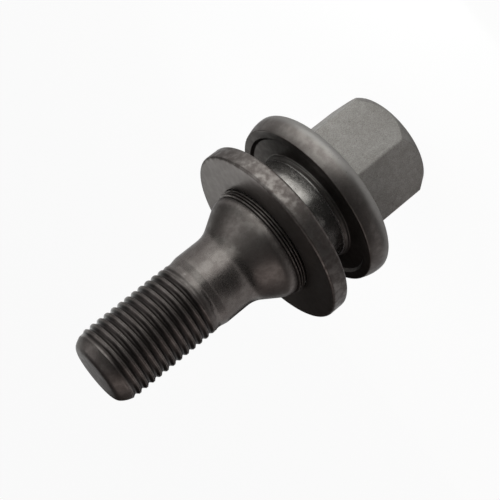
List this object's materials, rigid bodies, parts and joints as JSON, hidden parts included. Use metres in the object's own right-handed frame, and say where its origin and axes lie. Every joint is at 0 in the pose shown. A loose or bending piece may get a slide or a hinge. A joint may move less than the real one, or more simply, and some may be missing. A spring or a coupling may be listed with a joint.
{
  "type": "wheel bolt",
  "caption": "Wheel bolt with a hexagon head, a round flange, a loose captive washer held by rolled rings, a cone, a plain shank and a threaded end.",
  "frame": {"origin": "centre of the head's end face, on which the bolt stands", "axes": "+Z along the bolt's axis from the head to the thread's tip, +X through a corner of the hexagon"},
  "size_m": [0.0296, 0.0296, 0.0575],
  "materials": {
    "bolt_steel": "matte dark grey phosphate coating, faintly speckled",
    "washer_steel": "matte dark grey phosphate coating, faintly speckled"
  },
  "bodies": {
    "bolt": {"bolt": "bolt_steel"},
    "washer": {"washer": "washer_steel"}
  },
  "joints": [
    {"name": "washer_slide", "type": "slide", "parent": "bolt", "child": "washer", "axis": [0, 0, 1], "range_m": [-0.00545, 0.00005]}
  ]
}
